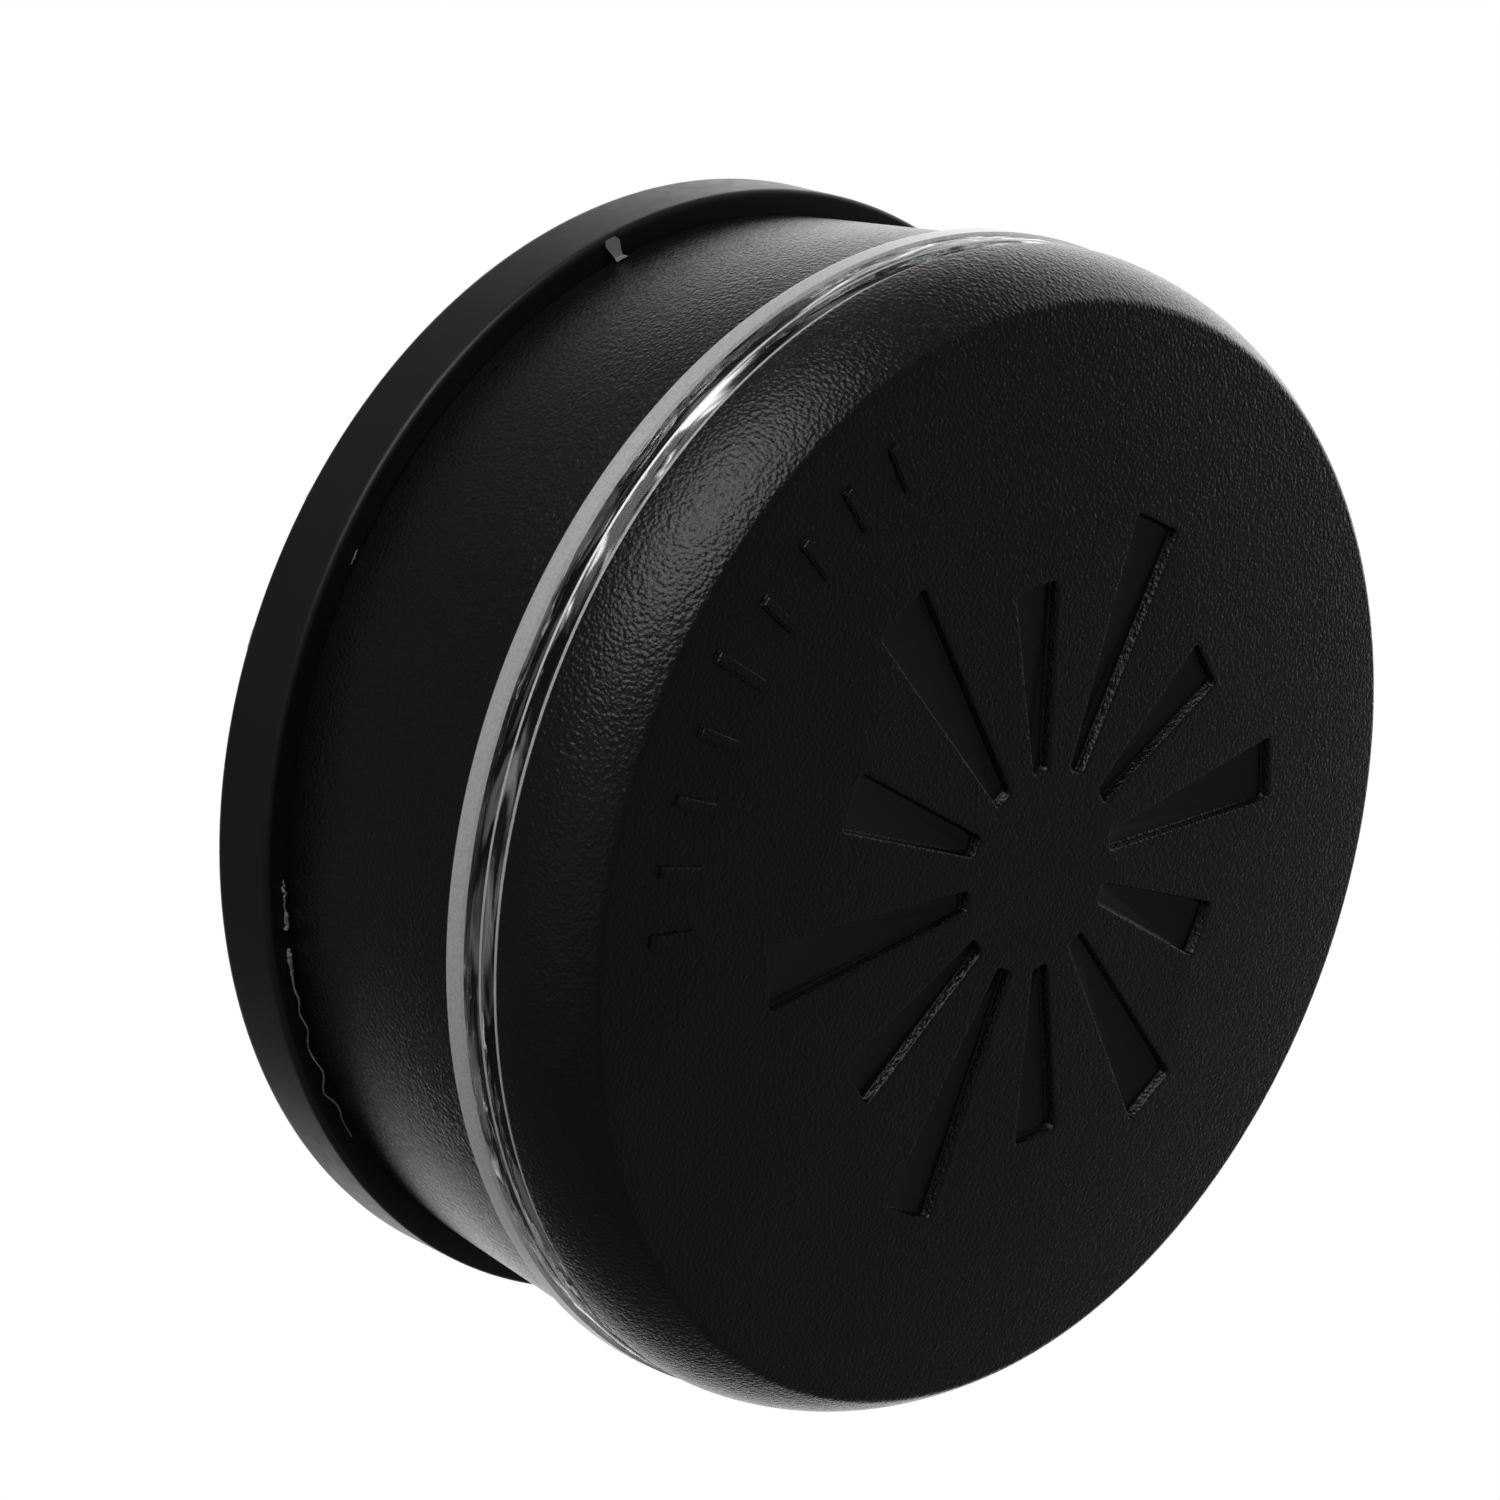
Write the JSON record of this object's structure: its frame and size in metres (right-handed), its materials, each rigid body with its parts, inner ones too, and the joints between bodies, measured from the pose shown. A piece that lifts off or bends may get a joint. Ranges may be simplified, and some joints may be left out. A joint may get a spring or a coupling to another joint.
{
  "type": "navigation light",
  "caption": "Compact black surface-mount all-round navigation light: flanged round base, drafted housing, clear lens ring, and a cap with rounded shoulders and a recessed sun symbol.",
  "frame": {"origin": "centre of the mounting face, on the underside of the rim gasket", "axes": "+Z points out of the mounting face along the lamp's axis to the cap; the index bars on the cap lie towards -Y"},
  "size_m": [0.07, 0.07, 0.0323],
  "materials": {
    "cap_plastic": "satin, fine spark-eroded grain",
    "housing_plastic": "satin, fine spark-eroded grain",
    "base_plastic": "plain satin",
    "lens_acrylic": "polished, with a satin band at the back edge",
    "foam_gasket": "closed-cell foam",
    "black_rubber": "matt",
    "clear_silicone": "translucent",
    "stainless_steel": "bright",
    "brass": "turned",
    "cast_aluminium": "as cast, machined seat",
    "thermal_pad": "soft, matt",
    "white_board": "white solder mask",
    "green_board": "green solder mask",
    "led_phosphor": "silicone dome on a ceramic base",
    "metallised_plastic": "vacuum metallised",
    "shade_plastic": "matt",
    "epoxy_package": "moulded epoxy",
    "ferrite": "sintered, matt",
    "capacitor_can": "bright can",
    "terminal_plastic": "moulded",
    "white_nylon": "moulded",
    "vent_plastic": "moulded"
  },
  "bodies": {
    "root": {"base_gasket": "foam_gasket", "mounting_base": "base_plastic", "threaded_inserts": "brass", "base_screws": "stainless_steel", "cable_gland": "black_rubber", "vent_plug": "vent_plastic", "joint_sealant": "clear_silicone", "housing": "housing_plastic", "heat_sink": "cast_aluminium", "deck_screws": "stainless_steel", "thermal_pad": "thermal_pad", "led_board": "white_board", "led_board_screws": "stainless_steel", "leds": "led_phosphor", "shade_ring": "shade_plastic", "reflector": "metallised_plastic", "lens_seal": "black_rubber", "lens_ring": "lens_acrylic", "cap_seal": "black_rubber", "top_cap": "cap_plastic", "cap_screws": "stainless_steel", "board_standoffs": "brass", "driver_board": "green_board", "driver_screws": "stainless_steel", "driver_chip": "epoxy_package", "inductor": "ferrite", "capacitors": "capacitor_can", "protection_diodes": "epoxy_package", "supply_terminal": "terminal_plastic", "link_pins": "brass", "link_insulators": "white_nylon"}
  },
  "joints": []
}
